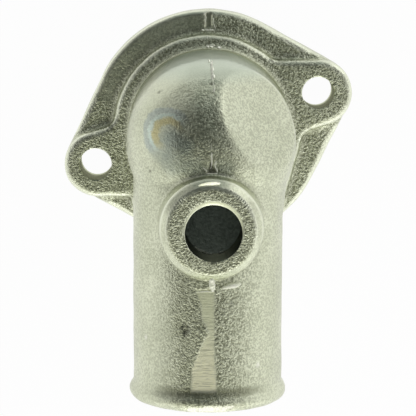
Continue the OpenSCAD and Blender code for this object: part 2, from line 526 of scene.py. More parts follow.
# How coarse the sand grain is on each part of the skin, and the rounds that even it out. A
# pair is the grain at the sides and what is added to it at the crown
GRAIN_FLANGE = 1.22
GRAIN_FLANGE_WALL = 0.6
GRAIN_CALM_PLATE = 0.55
GRAIN_DOME = (0.45, 0.5)
GRAIN_DOME_BACK = 0.3
GRAIN_FLAT = 0.6
GRAIN_NECK = (0.55, 0.75)
GRAIN_BEAD = (0.45, 0.7)
GRAIN_BOSS_RIM = 0.35
GRAIN_BOSS_FACE = 1.35
GRAIN_SPREAD = 3

# Where those parts lie: x of the crown and how wide it is, where the flange ends, the
# steepest face of its top, the calm part of the plate as headings in degrees and least
# reach, where the dome begins, its back as least y and steepest rise, how near a point is
# to the flat, and where the boss's rim and face begin
GRAIN_CROWN_X = 1
GRAIN_CROWN_HALF = 13
FLANGE_END_Z = PAD_TOP + 0.8
FLANGE_TOP_RISE = 0.5
CALM_HEADING = (92, 165)
CALM_REACH = 26.5
DOME_FROM_Y = -3
DOME_BACK_Y = 10
DOME_BACK_RISE = 0.55
FLAT_NEAR = 0.6
BOSS_RIM_R = BOSS_R + 0.8
BOSS_RIM_Z = BOSS_FACE_Z - 5
BOSS_TOP_Z = BOSS_FACE_Z - 0.5


def grain_of(points, normals):
    """How coarse the sand grain is at each point. The first place that a point is in counts."""
    x, y, z = points.T
    rise = normals[:, 2]
    crown = np.clip(1 - abs(x - GRAIN_CROWN_X) / GRAIN_CROWN_HALF, 0, 1) * (rise > 0)
    heading = np.degrees(np.arctan2(y, x))
    from_boss = reach_from(points, BOSS_AT)
    flange = z < FLANGE_END_Z
    calm = (heading > CALM_HEADING[0]) & (heading < CALM_HEADING[1])
    calm &= np.hypot(x, y) > CALM_REACH
    places = (
        ((from_boss < BOSS_R - BOSS_BEVEL) & (z > BOSS_TOP_Z), GRAIN_BOSS_FACE),
        ((from_boss < BOSS_RIM_R) & (z > BOSS_RIM_Z), GRAIN_BOSS_RIM),
        (~flange & (y > DOME_BACK_Y) & (rise < DOME_BACK_RISE), GRAIN_DOME_BACK),
        ((points - DOME_AT) @ FLAT_WAY > FLAT_DISTANCE - FLAT_NEAR, GRAIN_FLAT),
        (flange & calm, GRAIN_CALM_PLATE),
        (flange & (rise < FLANGE_TOP_RISE), GRAIN_FLANGE_WALL),
        (along_neck(points) > BEAD_FROM, GRAIN_BEAD[0] + GRAIN_BEAD[1] * crown),
        (flange, GRAIN_FLANGE),
        (y > DOME_FROM_Y, GRAIN_DOME[0] + GRAIN_DOME[1] * crown),
    )
    here, grain = zip(*places)
    return np.select(here, grain, GRAIN_NECK[0] + GRAIN_NECK[1] * crown)


# Spare metal in the valve's recess: how near a point is to the recess's floor or wall, how
# much is left there, and how far outside the wall or above the floor it may lie
SEAT_NEAR = 0.35
SEAT_FLOOR_SPARE = 0.2
SEAT_WALL_SPARE = 0.25
SEAT_OUTSIDE = 0.2
SEAT_ABOVE = 0.1

# How far past its radius a point still counts as the wall of the mouth, the neck's bore
# or the round turn between them, and where the bore ends short of the lip
MOUTH_MARGIN = 0.3
BORE_MARGIN = 0.6
TURN_MARGIN = 0.8
BORE_END = NECK_LENGTH - 1

# Skin that looks down more than this counts as plain, and how strongly plain skin is
# thinned before the rest
PLAIN_BELOW = -0.3
PLAIN_FIRST = 1000


def leave_spare_metal(points):
    """Leaves a little metal in the valve's recess for the cutter to take off."""
    z = points[:, 2]
    reach = reach_from(points, (0, 0))
    floor = (abs(z - SEAT_DEPTH) < SEAT_NEAR) & (reach < SEAT_R + SEAT_OUTSIDE)
    points[floor, 2] = SEAT_DEPTH - SEAT_FLOOR_SPARE
    wall = (abs(reach - SEAT_R) < SEAT_NEAR) & (z < SEAT_DEPTH + SEAT_ABOVE)
    points[wall, :2] *= ((SEAT_R - SEAT_WALL_SPARE) / reach[wall])[:, None]


def in_passage(points):
    """Tells which points are on the wall of the passage inside."""
    from_root = points - NECK_ROOT
    along = along_neck(points)
    off_axis = np.linalg.norm(from_root - np.outer(along, NECK_AXIS), axis=1)
    bore = (off_axis < NECK_BORE_R + BORE_MARGIN) & (along > 0) & (along < BORE_END)
    mouth = (reach_from(points, (0, 0)) < MOUTH_R + MOUTH_MARGIN) & (points[:, 2] < DOME_Z)
    return bore | mouth | (np.linalg.norm(from_root, axis=1) < NECK_BORE_R + TURN_MARGIN)


def thin_out(casting, plain):
    """Takes faces away where the skin is plain, down to a set count."""
    group = casting.vertex_groups.new(name="plain")
    group.add(np.flatnonzero(plain).tolist(), 1.0, "REPLACE")
    casting.data.calc_loop_triangles()
    thin = casting.modifiers.new("thin", "DECIMATE")
    thin.vertex_group = group.name
    thin.vertex_group_factor = PLAIN_FIRST
    thin.ratio = SKIN_FACES / len(casting.data.loop_triangles)
    work_in(casting)
    casting.vertex_groups.clear()


def cast_skin():
    """The casting's own surface with its softened edges and marks, before drilling."""
    mesh = even_skin(plugged_blank())
    edges = edges_of(mesh)
    points = points_of(mesh)
    soften(points, edges, EDGE_SOFTENING)
    on_crown = crown_of_dome(points)
    soften(points, edges, DOME_SOFTENING, on_crown[:, None])
    bevel_boss(points)
    put_points(mesh, points)
    normals = normals_of(mesh)
    crest, hollow = crests_and_hollows(points, normals, edges, on_crown)
    points += mould_waves(points)[:, None] * normals
    masks = mark_skin(points, normals)
    grain = spread(grain_of(points, normals), edges, GRAIN_SPREAD)
    masks.update(crest=crest, hollow=hollow, grain=grain)
    leave_spare_metal(points)
    put_points(mesh, points)
    for name, values in masks.items():
        put_mask(mesh, name, values)
    casting = link("casting", mesh)
    thin_out(casting, in_passage(points) | (normals[:, 2] < PLAIN_BELOW))
    return casting


# How wide the facing cutter is, where the port's drill stops, and how far the drills
# start above the face that they enter
FACING_R = 60
PORT_CUT_FROM = DOME_Z + 4
DRILL_START = 2

# Materials of the casting, by their place in its list
CAST, TURNED, CORE, PORT, BORE = range(5)

# How a face is told to be machined: the rise of an upright face, of one that looks down
# and of the countersink's cone, and how near a face is to a plane or to a wall
UPRIGHT_RISE = 0.2
FACED_RISE = -0.9
CONE_RISE = (0.4, 0.85)
FACED_NEAR = 0.05
GASKET_NEAR = 0.02
WALL_NEAR = 0.15
PORT_NEAR = 0.1


def cutter(name, at, radius, low, high, top_radius=None):
    """A rod or cone as an object of its own, to cut with."""
    bm = bmesh.new()
    add_rod(bm, at, radius, low, high, top_radius)
    return piece_of(bm, name)


def countersink_cutter():
    """The cone that cuts the port's countersink, as far above the boss's face as below it."""
    widening = COUNTERSINK_DEPTH / math.tan(COUNTERSINK_SLOPE)
    return cutter(
        "countersink",
        COUNTERSINK_AT,
        COUNTERSINK_R - widening,
        BOSS_FACE_Z - COUNTERSINK_DEPTH,
        BOSS_FACE_Z + COUNTERSINK_DEPTH,
        COUNTERSINK_R + widening,
    )


def machine(casting):
    """Faces the gasket side, turns the valve's recess and drills the bolt holes and the port."""
    cutters = [
        cutter("facing", (0, 0), FACING_R, -2 * FACING_DEPTH, 0),
        cutter("recess", (0, 0), SEAT_R, -FACING_DEPTH, SEAT_DEPTH),
        cutter("port", PORT_AT, PORT_R, PORT_CUT_FROM, BOSS_FACE_Z + DRILL_START),
        countersink_cutter(),
    ]
    for at in BOLTS:
        cutters.append(cutter("bolt_hole", at, BOLT_HOLE_R, -FACING_DEPTH, PAD_TOP + DRILL_START))
    for tool in cutters:
        cut = casting.modifiers.new(tool.name, "BOOLEAN")
        cut.operation = "DIFFERENCE"
        cut.solver = "MANIFOLD"
        cut.object = tool
    work_in(casting)
    for tool in cutters:
        bpy.data.objects.remove(tool)
    drop_empty_faces(casting.data)


def drop_empty_faces(mesh):
    """Closes up the faces without area that cutting can leave."""
    bm = bmesh.new()
    bm.from_mesh(mesh)
    bmesh.ops.dissolve_degenerate(bm, dist=SAME_POINT * MM, edges=bm.edges)
    bm.to_mesh(mesh)
    bm.free()


def sort_faces(mesh):
    """Gives each face the material of the way it was made, and keeps the cut edges sharp."""
    centre = rows_of(mesh.polygons, "center", 3) / MM
    z = centre[:, 2]
    rise = rows_of(mesh.polygons, "normal", 3)[:, 2]
    upright = abs(rise) < UPRIGHT_RISE
    faced = ((z < GASKET_NEAR) | (abs(z - SEAT_DEPTH) < FACED_NEAR)) & (rise < FACED_RISE)
    seat_wall = upright & (abs(reach_from(centre, (0, 0)) - SEAT_R) < WALL_NEAR) & (z < SEAT_DEPTH)
    cone = (rise > CONE_RISE[0]) & (rise < CONE_RISE[1]) & (z > BOSS_FACE_Z - COUNTERSINK_DEPTH)
    cone &= reach_from(centre, COUNTERSINK_AT) < COUNTERSINK_R + WALL_NEAR
    port = upright & (reach_from(centre, PORT_AT) < PORT_R + PORT_NEAR) & (z > DOME_Z)
    bolt_holes = np.zeros(len(z), bool)
    for at in BOLTS:
        bolt_holes |= upright & (abs(reach_from(centre, at) - BOLT_HOLE_R) < WALL_NEAR)
    made = np.select(
        [bolt_holes, faced | seat_wall | cone, port, in_passage(centre)],
        [BORE, TURNED, PORT, CORE],
        CAST,
    )
    mesh.polygons.foreach_set("material_index", made.astype(np.int32))
    shade_smooth(mesh)
    mesh.set_sharp_from_angle(angle=SHARP_EDGE)


class Sock:
    """A node's socket that Python expressions can use."""

    def __init__(self, tree, socket):
        self.tree = tree
        self.socket = socket

    def math(self, operation, first, second):
        node = self.tree.nodes.new("ShaderNodeMath")
        node.operation = operation
        for slot, value in zip(node.inputs, (first, second)):
            plug(self.tree, slot, value)
        return Sock(self.tree, node.outputs[0])

    def __add__(self, other):
        return self.math("ADD", self, other)

    def __radd__(self, other):
        return self.math("ADD", other, self)

    def __sub__(self, other):
        return self.math("SUBTRACT", self, other)

    def __rsub__(self, other):
        return self.math("SUBTRACT", other, self)

    def __mul__(self, other):
        return self.math("MULTIPLY", self, other)

    def __rmul__(self, other):
        return self.math("MULTIPLY", other, self)

    def power(self, other):
        return self.math("POWER", self, other)

    def most(self, other):
        return self.math("MAXIMUM", self, other)

    def least(self, other):
        return self.math("MINIMUM", self, other)


def plug(tree, slot, value):
    """Links a socket to a slot, or sets the slot's own value."""
    if isinstance(value, Sock):
        tree.links.new(value.socket, slot)
    else:
        slot.default_value = value


class Nodes:
    """A node tree with one method that adds any node."""

    def __init__(self, tree):
        self.tree = tree
        self.tree.nodes.clear()

    def node(self, kind, settings=None, inputs=None, out=0):
        """Adds a node. A short kind is a shader node's; other nodes give their full type."""
        node = self.tree.nodes.new(kind if "Node" in kind else "ShaderNode" + kind)
        for name, value in (settings or {}).items():
            setattr(node, name, value)
        for name, value in (inputs or {}).items():
            plug(self.tree, node.inputs[name], value)
        return Sock(self.tree, node.outputs[out]) if len(node.outputs) else None

    def vector(self, operation, first, second, out=0):
        return self.node("VectorMath", {"operation": operation}, {0: first, 1: second}, out)

    def scaled(self, vector, scale):
        return self.node("VectorMath", {"operation": "SCALE"}, {0: vector, "Scale": scale})


# Places of a Mix node's colour sockets: factor, first colour, second colour and result
MIX_FACTOR = 0
MIX_FIRST = 6
MIX_SECOND = 7
MIX_RESULT = 2

# Ranges of a noise's values that turn one tone or roughness into another, its centre, and
# the detail and roughness of the noise in fine marks
NOISE_WIDE = (0.3, 0.7)
NOISE_MIDDLE = (0.35, 0.65)
NOISE_CENTRE = 0.5
FINE_DETAIL = 3
FINE_ROUGHNESS = 0.6

# Reflection at a grazing angle, where nothing dims it
CLEAR_GLANCE = (1, 1, 1, 1)


class Finish(Nodes):
    """The nodes of one material, with its place on the part in millimetres."""

    def __init__(self, name):
        self.material = bpy.data.materials.new(name)
        self.material.use_nodes = True
        super().__init__(self.material.node_tree)
        self.place = self.scaled(self.node("TexCoord", out="Object"), 1 / MM)

    def noise(self, scale, detail=2, roughness=0.5, twist=0.0, place=None):
        return self.node(
            "TexNoise",
            inputs={
                "Vector": place or self.place,
                "Scale": scale,
                "Detail": detail,
                "Roughness": roughness,
                "Distortion": twist,
            },
        )

    def streaks(self, stretch, roughness=FINE_ROUGHNESS, twist=0.0):
        """Noise drawn out along the axes whose stretch is small."""
        place = self.node("Mapping", inputs={"Vector": self.place, "Scale": stretch})
        return self.noise(1.0, FINE_DETAIL, roughness, twist, place)

    def ramp(self, value, low, high, to_low=0.0, to_high=1.0):
        """Turns the values from low to high smoothly into those from to_low to to_high."""
        return self.node(
            "MapRange",
            {"interpolation_type": "SMOOTHSTEP"},
            {"Value": value, "From Min": low, "From Max": high, "To Min": to_low, "To Max": to_high},
        )

    def mix(self, factor, first, second):
        slots = {MIX_FACTOR: factor, MIX_FIRST: first, MIX_SECOND: second}
        return self.node("Mix", {"data_type": "RGBA"}, slots, MIX_RESULT)

    def mask(self, name):
        return self.node("Attribute", {"attribute_name": name}, out="Fac")

    def axis(self, name):
        return self.node("SeparateXYZ", inputs={0: self.place}, out=name)

    def seen_from_above(self):
        return self.vector("MULTIPLY", self.place, (1, 1, 0))

    def relief(self, height, depth, strength):
        slots = {"Strength": strength, "Distance": depth * MM, "Height": height}
        return self.node("Bump", inputs=slots)

    def metal(self, colour, roughness, normal, metallic=1.0, glance=CLEAR_GLANCE):
        """Makes the finish a metal and gives its material."""
        shader = self.node(
            "BsdfPrincipled",
            inputs={
                "Base Color": colour,
                "Metallic": metallic,
                "Roughness": roughness,
                "Specular Tint": glance,
                "Normal": normal,
            },
        )
        self.node("OutputMaterial", inputs={"Surface": shader})
        return self.material


# Colours of the metal, linear
GREY_DARK = (0.24, 0.25, 0.17, 1)
GREY_MID = (0.62, 0.65, 0.49, 1)
GREY_LIGHT = (0.71, 0.74, 0.57, 1)
GREY_BRIGHT = (0.90, 0.93, 0.76, 1)
FILED_DULL = (0.84, 0.86, 0.68, 1)
FILED_PALE = (1.0, 0.99, 0.81, 1)
SHEARED_WHITE = (0.97, 0.97, 0.88, 1)
SHEARED_PALE = (0.80, 0.80, 0.70, 1)
PIT_BLACK = (0.05, 0.05, 0.04, 1)
CORE_DARK = (0.24, 0.27, 0.24, 1)
CORE_GREY = (0.36, 0.40, 0.36, 1)
# Near-black colours of the port's wall: painted shade
PORT_SHADE_DARK = (0.025, 0.03, 0.025, 1)
PORT_SHADE_GREY = (0.06, 0.07, 0.06, 1)
PORT_GLANCE = (0.72, 0.74, 0.62, 1)
BORE_DARK = (0.22, 0.23, 0.17, 1)
BORE_GREY = (0.40, 0.41, 0.31, 1)
BORE_GLANCE = (0.52, 0.53, 0.42, 1)
TINT_STRAW = (0.57, 0.49, 0.19, 1)
TINT_PALE = (0.60, 0.73, 0.68, 1)
TINT_BLUE = (0.26, 0.34, 0.40, 1)
TINT_DUSK_AND_SHADE = (0.27, 0.33, 0.30, 1)
TINT_COOL = (0.54, 0.62, 0.52, 1)

# Where the dome's back turns cooler, from and to y and from and to z, and how much
COOL_Y = (15.0, 20.0)
COOL_Z = (11.0, 14.0)
COOL_SHARE = 0.6

# Heat tint on the dome, seen from above, drawn only on the lit side as painted light: the
# middle of its rings, the way towards the lit side, how far before and after the middle
# they fade in, and each ring's colour, radius, half width and strength
TINT_AT = (-9.93, 4.77, 0)
TINT_LIT_WAY = (-0.70, 0.71, 0)
TINT_FADE = (-2.2, 1.8)
TINT_RINGS = (
    (TINT_BLUE, 5.8, 0.9, 0.4),
    (TINT_PALE, 4.7, 0.7, 0.6),
    (TINT_STRAW, 3.35, 1.15, 0.56),
)

# Dusky spots, partly of the tint and partly painted shade on the dome's middle: place, radius
# and strength, and how soft their edges are
DUSK_AND_SHADE_SPOTS = (
    ((-9.2, 4.2, 0), 2.4, 0.6),
    ((-5.9, 2.5, 0), 2.3, 0.6),
    ((-12.0, 1.4, 0), 3.4, 0.35),
    ((-8.5, -1.6, 0), 3.6, 0.4),
    ((-3.6, -2.6, 0), 2.8, 0.4),
    ((3.8, -3.0, 0), 2.4, 0.3),
)
DUSK_EDGE = (-1.8, 1.2)

# Waver of the tint's edges, slow and quick: noise scale and width in millimetres
WAVER_SLOW = (0.9, 1.3)
WAVER_QUICK = (3.0, 0.6)


def waver(f, scale, width):
    """Shift to and fro that a noise gives an edge."""
    return (f.noise(scale) - NOISE_CENTRE) * width


def heat_tint(f, colour):
    """Straw, pale and blue arcs that heat left on the dome, drawn only on its lit side as painted
    light, and dusky spots, partly tint and partly painted shade.
    """
    flat = f.seen_from_above()
    middle = sum(a * b for a, b in zip(TINT_AT, TINT_LIT_WAY))
    side = f.vector("DOT_PRODUCT", flat, TINT_LIT_WAY, "Value")
    # The rings are drawn only on the lit side: painted light
    lit_side = f.ramp(side, middle + TINT_FADE[0], middle + TINT_FADE[1])
    shift = waver(f, *WAVER_SLOW) + waver(f, *WAVER_QUICK)
    # Dusky spots: part of the tint, and painted shade on the dome's middle
    for at, radius, strength in DUSK_AND_SHADE_SPOTS:
        reach = f.vector("DISTANCE", flat, at, "Value") + shift
        dusk_and_shade = 1 - f.ramp(reach, radius + DUSK_EDGE[0], radius + DUSK_EDGE[1])
        colour = f.mix(dusk_and_shade * strength, colour, TINT_DUSK_AND_SHADE)
    reach = f.vector("DISTANCE", flat, TINT_AT, "Value") + shift
    for tint, radius, half, strength in TINT_RINGS:
        off = reach - radius
        ring = (1 - f.ramp(off * off, 0.0, half * half)) * lit_side
        colour = f.mix(ring * strength, colour, tint)
    return colour


def cool_back(f, colour):
    """Cooler tone of the dome's steep back."""
    there = f.ramp(f.axis("Y"), *COOL_Y) * f.ramp(f.axis("Z"), *COOL_Z)
    return f.mix(there * COOL_SHARE, colour, TINT_COOL)


# The file's strokes: stretch, roughness and twist of their noise. Distances along the
# neck's direction from the origin, over which the strip turns from dull to bright. The
# dirt in the strokes: its range in the noise, its least share and what the lip adds
FILE_STROKES = ((0.28, 2.8, 0.28), 0.55, 0.7)
BRIGHT_ALONG = (44.0, 58.0)
STROKE_DIRT = (0.52, 0.36)
STROKE_LEAST = 0.12
STROKE_AT_LIP = 0.16


def filed_colour(f, strokes):
    """Metal of the filed strip, dull under the boss and bright at the lip."""
    along = f.vector("DOT_PRODUCT", f.place, tuple(NECK_AXIS), "Value")
    to_lip = f.ramp(along, *BRIGHT_ALONG)
    colour = f.mix(to_lip, FILED_DULL, FILED_PALE)
    dirt = f.ramp(strokes, *STROKE_DIRT) * (to_lip * STROKE_AT_LIP + STROKE_LEAST)
    return f.mix(dirt, colour, GREY_DARK)


# Sand grain: noise scale and twist of its three layers, and each layer's share
SAND = (2.1, 0.4)
WORMS = (1.35, 0.6)
DUST = (5.0, 0.0)
SAND_SHARE = 0.52
WORMS_SHARE = 0.33
DUST_SHARE = 0.15

# Slow clouds and dark specks: noise scales
CLOUD_SCALE = 0.10
SPECK_SCALE = 1.3

# Ranges over which a dent with its painted shade, a painted glint, a speck, a worn edge with its
# painted highlight, and dirt with painted shade in hollows come in
DENT_RANGE = (0.54, 0.44)
GLINT_RANGE = (0.53, 0.62)
SPECK_RANGE = (0.28, 0.20)
EDGE_RANGE = (0.01, 0.06)
HOLLOW_RANGE = (0.004, 0.07)

# How much of the grain bare metal and worn edges lose, and how bare the strip is
BARE_SMOOTH = 0.92
EDGE_SMOOTH = 0.6
STRIP_BARE = 0.8

# How strongly each mark colours the skin, painted shade and painted highlights among them
DENT_TONE_AND_SHADE = 0.66
DENT_MOST = 0.85
GLINT_BRIGHT = 0.3
EDGE_WEAR_AND_HIGHLIGHT = 0.7
DIRT_AND_SHADE_DARK = 0.75
SPECK_DARK = 0.45
STRIP_DARK = 0.5
BARE_BRIGHT = 0.9
PIT_DARK = 0.85

# Roughness of the skin and what the grain and bare metal add to it; the depth of its
# relief in millimetres, and the share of the file's strokes in that
SKIN_ROUGH = (0.31, 0.38)
GRAIN_ROUGH = 0.05
FILED_ROUGH = 0.42
SHEARED_ROUGH = 0.34
SKIN_RELIEF = 0.36
STROKE_RELIEF = 0.45


def cast_metal():
    """As-cast aluminium: sandy grain with painted shade in its dents and painted glints, worn edges
    with a painted highlight, dirt and painted shade in hollows, bare metal, pits and a heat tint.
    """
    f = Finish("cast_metal")
    sand, worms, dust = (f.noise(scale, 1, twist=twist) for scale, twist in (SAND, WORMS, DUST))
    grain = sand * SAND_SHARE + worms * WORMS_SHARE + dust * DUST_SHARE
    filed = f.mask("filed")
    sheared = f.mask("sheared")
    strip = f.mask("strip")
    # Convex edges: worn edges lose grain, and below they also get a painted highlight
    edge = f.ramp(f.mask("crest"), *EDGE_RANGE)
    bare = filed.most(sheared).most(strip * STRIP_BARE)
    coarse = f.mask("grain") * (1 - bare * BARE_SMOOTH) * (1 - edge * EDGE_SMOOTH)
    # Grain's dents: partly grain tone, partly painted shade in its pits
    dent_tone_and_shade = f.ramp(grain, *DENT_RANGE)
    # Grain's tops: a painted glint
    glint = f.ramp(grain, *GLINT_RANGE)
    # Hollows: dirt, and painted shade in creases and at the feet of steps
    dirt = f.ramp(f.mask("hollow"), *HOLLOW_RANGE)
    speck = f.ramp(f.noise(SPECK_SCALE, 1), *SPECK_RANGE)
    strokes = f.streaks(*FILE_STROKES)

    colour = f.mix(f.ramp(f.noise(CLOUD_SCALE), *NOISE_WIDE), GREY_MID, GREY_LIGHT)
    # Dents darkened with grain tone and painted shade, tops given a painted glint
    colour = f.mix((dent_tone_and_shade * coarse * DENT_TONE_AND_SHADE).least(DENT_MOST), colour, GREY_DARK)
    colour = f.mix(glint * coarse * GLINT_BRIGHT, colour, GREY_BRIGHT)
    # Convex edges brightened: partly real wear, partly a painted highlight
    colour = f.mix(edge * EDGE_WEAR_AND_HIGHLIGHT, colour, GREY_BRIGHT)
    # Darkens the hollows: dirt and painted shade
    colour = f.mix(dirt * DIRT_AND_SHADE_DARK, colour, GREY_DARK)
    colour = f.mix(speck * SPECK_DARK, colour, GREY_DARK)
    colour = f.mix(strip * STRIP_DARK, colour, GREY_DARK)
    colour = heat_tint(f, cool_back(f, colour))
    colour = f.mix(filed * BARE_BRIGHT, colour, filed_colour(f, strokes))
    colour = f.mix(sheared * BARE_BRIGHT, colour, f.mix(dent_tone_and_shade, SHEARED_WHITE, SHEARED_PALE))
    colour = f.mix(f.mask("pit") * PIT_DARK, colour, PIT_BLACK)

    roughness = f.ramp(worms, *NOISE_WIDE, *SKIN_ROUGH) + coarse * GRAIN_ROUGH
    roughness = roughness + filed * FILED_ROUGH + sheared * SHEARED_ROUGH
    height = grain * coarse + strokes * filed * STROKE_RELIEF
    return f.metal(colour, roughness, f.relief(height, SKIN_RELIEF, 1.0))


# Marks of the other finishes: the scale or stretch of each one's noise
CORE_GRAIN = 1.2
PORT_STREAKS = (0.3, 0.3, 1.6)
BORE_STREAKS = (0.5, 0.5, 1.8)
TURNED_RINGS = 2.6
TURNED_CLOUD = 0.25
FLASH_GRAIN = 1.6
CHIP_GRAIN = 2.2

# Range of each one's roughness, and its relief as depth in millimetres and strength
CORE_ROUGH = (0.55, 0.68)
CORE_RELIEF = (0.2, 0.8)
PORT_ROUGH = (0.38, 0.55)
PORT_RELIEF = (0.08, 0.5)
BORE_ROUGH = (0.50, 0.64)
BORE_RELIEF = (0.1, 0.6)
TURNED_ROUGH = (0.30, 0.42)
TURNED_RELIEF = (0.05, 0.5)
FLASH_ROUGH = (0.58, 0.68)
FLASH_RELIEF = (0.1, 0.6)
CHIP_ROUGH = (0.40, 0.50)
CHIP_RELIEF = (0.06, 0.5)

# Shares of rings and cloud in the cutter's marks, how metallic the torn flash is, and
# where a bolt hole's wall gets painted light towards its lower edge: from and to height, and how
# its marks blur that
RINGS_SHARE = 0.8
TURNED_CLOUD_SHARE = 0.2
FLASH_METALLIC = 0.3
BORE_PAINTED_LIGHT_Z = (3.4, 2.2)
BORE_BLUR = 1.5


def core_metal():
    """Duller skin that the sand core left inside the passage."""
    f = Finish("core_metal")
    grain = f.noise(CORE_GRAIN, FINE_DETAIL, FINE_ROUGHNESS)
    colour = f.mix(f.ramp(grain, *NOISE_MIDDLE), CORE_DARK, CORE_GREY)
    roughness = f.ramp(grain, *NOISE_WIDE, *CORE_ROUGH)
    return f.metal(colour, roughness, f.relief(grain, *CORE_RELIEF))


def port_metal():
    """Wall of the drilled port, near black as painted shade deep in the hole."""
    f = Finish("port_metal")
    marks = f.streaks(PORT_STREAKS)
    # Painted shade deep in the port
    colour = f.mix(f.ramp(marks, *NOISE_MIDDLE), PORT_SHADE_DARK, PORT_SHADE_GREY)
    roughness = f.ramp(marks, *NOISE_WIDE, *PORT_ROUGH)
    return f.metal(colour, roughness, f.relief(marks, *PORT_RELIEF), glance=PORT_GLANCE)


def turned_metal():
    """Faced aluminium with the fine round marks of the cutter."""
    f = Finish("turned_metal")
    reach = f.node("VectorMath", {"operation": "LENGTH"}, {0: f.seen_from_above()}, "Value")
    slots = {"X": reach * TURNED_RINGS, "Y": f.axis("Z") * TURNED_RINGS}
    place = f.node("CombineXYZ", inputs=slots)
    rings = f.noise(1.0, FINE_DETAIL, FINE_ROUGHNESS, place=place)
    marks = rings * RINGS_SHARE + f.noise(TURNED_CLOUD) * TURNED_CLOUD_SHARE
    colour = f.mix(f.ramp(marks, *NOISE_MIDDLE), GREY_LIGHT, GREY_BRIGHT)
    roughness = f.ramp(marks, *NOISE_WIDE, *TURNED_ROUGH)
    return f.metal(colour, roughness, f.relief(marks, *TURNED_RELIEF))


def bore_metal():
    """Dull drilled wall of the bolt holes, with painted light towards its lower edge."""
    f = Finish("bore_metal")
    marks = f.streaks(BORE_STREAKS)
    colour = f.mix(f.ramp(marks, *NOISE_MIDDLE), BORE_DARK, BORE_GREY)
    # Painted light towards the lower edge of the bolt hole
    painted_light = f.ramp(f.axis("Z") + marks * BORE_BLUR, *BORE_PAINTED_LIGHT_Z)
    colour = f.mix(painted_light, colour, GREY_LIGHT)
    roughness = f.ramp(marks, *NOISE_WIDE, *BORE_ROUGH)
    return f.metal(colour, roughness, f.relief(marks, *BORE_RELIEF), glance=BORE_GLANCE)


def flash_metal():
    """Bright torn edge of the flash left at the parting line."""
    f = Finish("flash_metal")
    grain = f.noise(FLASH_GRAIN)
    colour = f.mix(f.ramp(grain, *NOISE_WIDE), GREY_BRIGHT, SHEARED_WHITE)
    roughness = f.ramp(grain, *NOISE_WIDE, *FLASH_ROUGH)
    return f.metal(colour, roughness, f.relief(grain, *FLASH_RELIEF), FLASH_METALLIC)


def chip_metal():
    """Bright scraped metal of the chips."""
    f = Finish("chip_metal")
    grain = f.noise(CHIP_GRAIN)
    colour = f.mix(f.ramp(grain, *NOISE_MIDDLE), GREY_BRIGHT, SHEARED_WHITE)
    roughness = f.ramp(grain, *NOISE_WIDE, *CHIP_ROUGH)
    return f.metal(colour, roughness, f.relief(grain, *CHIP_RELIEF))


# Ways in which a line is cast onto the casting, and from where: down from a height z, as
# (x, y) points, or towards the lip from a y, as (x, z) points
DOWN = (0, 0, -1)
INWARD = (0, -1, 0)
ONTO_FLANGE = (DOWN, 20)
ONTO_CROWN = (DOWN, 70)
ONTO_BACK = (INWARD, 40)
ONTO_PORT_WALL = (INWARD, PORT_AT[1])

# Ridges of flash along the parting line: where each is cast, its radius and its points
RIDGES = (
    # On the plate: both sides of the strip and the bar at the foot of the step
    (ONTO_FLANGE, 0.2, ((1.1, 31.3), (0.1, 31.3), (-0.75, 30.8), (-0.3, 29.9), (-0.45, 27.8))),
    (ONTO_FLANGE, 0.17, ((2.0, 29.9), (1.65, 28.7), (2.15, 27.4), (2.45, 26.6))),
    (ONTO_FLANGE, 0.34, ((-1.6, 26.45), (2.15, 26.45))),
    # On the ring and at the foot of the dome
    (ONTO_FLANGE, 0.2, ((0.1, 25.2), (0.15, 24.2))),
    (ONTO_FLANGE, 0.3, ((-0.2, 22.6), (2.4, 22.5))),
    (ONTO_FLANGE, 0.27, ((2.95, 22.35), (4.0, 22.1))),
    # Up the back of the dome and over its crown
    (ONTO_BACK, 0.3, ((0.9, 36.2), (0.7, 41.0), (0.85, 46.6))),
    (ONTO_CROWN, 0.16, ((0.95, 17.5), (1.2, 15.5), (1.1, 14.8))),
    (ONTO_CROWN, 0.06, ((0.5, 3.4), (0.55, 1.4))),
    # In the wedge above the boss
    (ONTO_CROWN, 0.2, ((0.52, 1.2), (0.52, -2.2), (0.15, -3.1))),
    (ONTO_CROWN, 0.28, ((1.65, -0.9), (1.25, -2.0), (1.95, -3.9))),
    (ONTO_CROWN, 0.22, ((-1.5, -2.6), (-0.75, -3.5), (-0.85, -4.0))),
    (ONTO_CROWN, 0.2, ((-0.9, -4.15), (2.0, -4.15))),
    # Under the boss: the stub above the filed strip, the bar beside it and the strip's end
    (ONTO_CROWN, 0.75, ((0.7, -29.4), (0.8, -31.4), (0.95, -33.8))),
    (ONTO_CROWN, 0.62, ((2.9, -32.75), (5.4, -32.25), (8.0, -31.9))),
    (ONTO_CROWN, 0.18, ((-3.3, -33.7), (-1.0, -33.5), (1.4, -33.5))),
    # On the plate beside the left lug
    (ONTO_FLANGE, 0.22, ((-31.4, 0.2), (-30.4, 0.35), (-29.4, 0.8))),
    # Burrs at the lower edge of the port
    (ONTO_PORT_WALL, 0.42, ((-3.6, 50.1), (-2.6, 50.7), (-1.5, 50.3), (0.8, 50.8))),
    (ONTO_PORT_WALL, 0.36, ((2.3, 50.6), (3.0, 50.3), (3.9, 50.4))),
)

# A ridge's making: steps along it in millimetres, its sides, how blunt its ends taper, how
# far it is cast in metres, the scale per metre and the detail of the noises that shake its
# line and swell it, and how thick it is at the least with what its swelling adds
RIDGE_STEP = 0.16
RIDGE_SIDES = 8
RIDGE_TAPER = 0.35
CAST_LENGTH = 0.1
SHAKE = (900.0, 2.0)
SWELL = (600.0, 1.0)
SWELL_LEAST = 0.2
SWELL_ADDS = 1.6

# Inputs of the tree that makes a ridge
RIDGE_INPUTS = (
    ("Line", "NodeSocketGeometry"),
    ("Surface", "NodeSocketObject"),
    ("Way", "NodeSocketVector"),
    ("Radius", "NodeSocketFloat"),
    ("Seed", "NodeSocketFloat"),
)


